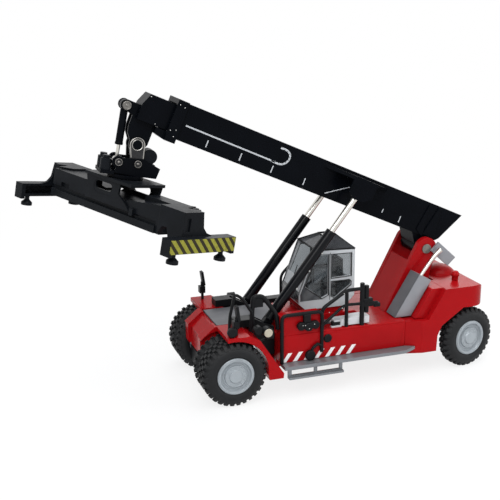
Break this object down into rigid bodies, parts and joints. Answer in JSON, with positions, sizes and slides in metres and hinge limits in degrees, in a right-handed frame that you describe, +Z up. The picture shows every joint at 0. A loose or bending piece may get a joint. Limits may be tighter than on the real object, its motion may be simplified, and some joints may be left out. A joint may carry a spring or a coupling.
{
  "type": "scale model reach stacker",
  "caption": "Die-cast scale model of a reach stacker: wheeled chassis with cab and counterweight, telescopic boom on lift cylinders, and a slewing container spreader.",
  "frame": {"origin": "centre of the whole model's footprint box, on the ground under the tyres", "axes": "+X forward along the machine, from the counterweight to the spreader; +Y to the machine's left; +Z up"},
  "size_m": [0.1572, 0.0794, 0.0984],
  "materials": {
    "red_paint": "gloss",
    "bright_metal": "polished",
    "silver_paint": "satin",
    "black_plastic": "satin",
    "cab_paint": "satin",
    "tinted_clear": "gloss",
    "clear_plastic": "clear",
    "white_plastic": "satin",
    "tyre_rubber": "matte",
    "black_paint": "gloss"
  },
  "bodies": {
    "chassis": {"chassis_frame": "red_paint", "nose": "red_paint", "front_fenders": "red_paint", "counterweight": "red_paint", "engine_hood": "red_paint", "tower": "red_paint", "pivot_pin": "bright_metal", "deck_plates": "silver_paint", "cylinder_mounts": "black_plastic", "axle_front": "black_plastic", "axle_rear": "black_plastic", "running_boards": "silver_paint", "cab_body": "cab_paint", "cab_roof": "tinted_clear", "cab_glazing": "clear_plastic", "cab_interior": "black_plastic", "cab_guard": "black_plastic", "handrails": "black_plastic", "front_lamps": "black_plastic", "toolboxes": "white_plastic", "exhaust": "silver_paint", "exhaust_pipe": "bright_metal"},
    "wheel_front_left": {"tyres_front_left": "tyre_rubber", "rim_front_left": "silver_paint"},
    "wheel_front_right": {"tyres_front_right": "tyre_rubber", "rim_front_right": "silver_paint"},
    "knuckle_left": {"knuckle_left": "black_plastic"},
    "knuckle_right": {"knuckle_right": "black_plastic"},
    "wheel_rear_left": {"tyre_rear_left": "tyre_rubber", "rim_rear_left": "silver_paint"},
    "wheel_rear_right": {"tyre_rear_right": "tyre_rubber", "rim_rear_right": "silver_paint"},
    "boom": {"boom_outer": "black_paint"},
    "boom_slide": {"boom_inner": "black_paint", "boom_head": "black_paint", "head_pins": "bright_metal"},
    "lift_barrel_left": {"lift_barrel_left": "black_paint"},
    "lift_barrel_right": {"lift_barrel_right": "black_paint"},
    "lift_rod_left": {"lift_rod_left": "bright_metal"},
    "lift_rod_right": {"lift_rod_right": "bright_metal"},
    "yoke": {"yoke": "black_paint", "yoke_links": "bright_metal", "tilt_pin": "black_plastic", "slew_motors": "black_plastic"},
    "damper_barrel": {"damper_barrel": "black_plastic"},
    "damper_rod": {"damper_rod": "bright_metal"},
    "spreader": {"spreader_beam": "black_paint", "spreader_frame": "black_paint"},
    "end_left": {"end_beam_left": "black_paint", "twistlocks_left": "black_paint"},
    "end_right": {"end_beam_right": "black_paint", "twistlocks_right": "black_paint"}
  },
  "joints": [
    {"name": "wheel_front_left_spin", "type": "hinge", "parent": "chassis", "child": "wheel_front_left", "pos_m": [0.01886, 0.018, 0.01068], "axis": [0, 1, 0], "continuous": true},
    {"name": "wheel_front_right_spin", "type": "hinge", "parent": "chassis", "child": "wheel_front_right", "pos_m": [0.01886, -0.018, 0.01068], "axis": [0, 1, 0], "continuous": true},
    {"name": "steer_left", "type": "hinge", "parent": "chassis", "child": "knuckle_left", "pos_m": [-0.06674, 0.0102, 0.01068], "axis": [0, 0, 1], "range_deg": [-35.5, 14.5]},
    {"name": "steer_right", "type": "hinge", "parent": "chassis", "child": "knuckle_right", "pos_m": [-0.06674, -0.0102, 0.01068], "axis": [0, 0, 1], "range_deg": [-35.5, 14.5]},
    {"name": "wheel_rear_left_spin", "type": "hinge", "parent": "knuckle_left", "child": "wheel_rear_left", "pos_m": [-0.06674, 0.0102, 0.01068], "axis": [-0.1822, 0.9833, 0], "continuous": true},
    {"name": "wheel_rear_right_spin", "type": "hinge", "parent": "knuckle_right", "child": "wheel_rear_right", "pos_m": [-0.06674, -0.0102, 0.01068], "axis": [-0.1822, 0.9833, 0], "continuous": true},
    {"name": "boom_lift", "type": "hinge", "parent": "chassis", "child": "boom", "pos_m": [-0.05574, 0, 0.04133], "axis": [0, -1, 0], "range_deg": [-13, 33]},
    {"name": "boom_extend", "type": "slide", "parent": "boom", "child": "boom_slide", "axis": [0.9128, 0, 0.4083], "range_m": [0, 0.06]},
    {"name": "lift_barrel_left_turn", "type": "hinge", "parent": "chassis", "child": "lift_barrel_left", "pos_m": [0.00566, 0.0107, 0.02133], "axis": [0, -1, 0], "range_deg": [-1.88, 4.01]},
    {"name": "lift_rod_left_slide", "type": "slide", "parent": "lift_barrel_left", "child": "lift_rod_left", "axis": [-0.6227, 0, 0.7824], "range_m": [-0.00832, 0.02034]},
    {"name": "lift_barrel_right_turn", "type": "hinge", "parent": "chassis", "child": "lift_barrel_right", "pos_m": [0.00566, -0.0107, 0.02133], "axis": [0, -1, 0], "range_deg": [-1.88, 4.01]},
    {"name": "lift_rod_right_slide", "type": "slide", "parent": "lift_barrel_right", "child": "lift_rod_right", "axis": [-0.6227, 0, 0.7824], "range_m": [-0.00832, 0.02034]},
    {"name": "yoke_tilt", "type": "hinge", "parent": "boom_slide", "child": "yoke", "pos_m": [0.04319, 0, 0.08296], "axis": [0, 1, 0], "range_deg": [-15, 30]},
    {"name": "damper_barrel_turn", "type": "hinge", "parent": "boom_slide", "child": "damper_barrel", "pos_m": [0.04591, 0, 0.09524], "axis": [0, 1, 0], "range_deg": [-5.71, 10.92]},
    {"name": "damper_rod_slide", "type": "slide", "parent": "damper_barrel", "child": "damper_rod", "axis": [0.2047, 0, -0.9788], "range_m": [-0.00141, 0.00262]},
    {"name": "spreader_slew", "type": "hinge", "parent": "yoke", "child": "spreader", "pos_m": [0.05006, 0, 0.05576], "axis": [-0.184, 0, 0.9829], "range_deg": [-120, 150]},
    {"name": "end_left_slide", "type": "slide", "parent": "spreader", "child": "end_left", "axis": [-0.4615, 0.8829, -0.0864], "range_m": [0, 0.0403]},
    {"name": "end_right_slide", "type": "slide", "parent": "spreader", "child": "end_right", "axis": [0.4615, -0.8829, 0.0864], "range_m": [0, 0.0403]}
  ],
  "couplings": [
    {"joint": "steer_right", "follows": "steer_left", "ratio": 1},
    {"joint": "lift_barrel_left_turn", "follows": "boom_lift", "ratio": 0.10629},
    {"joint": "lift_rod_left_slide", "follows": "boom_lift", "m_per_rad": 0.034451},
    {"joint": "lift_barrel_right_turn", "follows": "boom_lift", "ratio": 0.10629},
    {"joint": "lift_rod_right_slide", "follows": "boom_lift", "m_per_rad": 0.034451},
    {"joint": "damper_barrel_turn", "follows": "yoke_tilt", "ratio": 0.34722},
    {"joint": "damper_rod_slide", "follows": "yoke_tilt", "m_per_rad": 0.004629},
    {"joint": "end_right_slide", "follows": "end_left_slide", "ratio": 1}
  ]
}
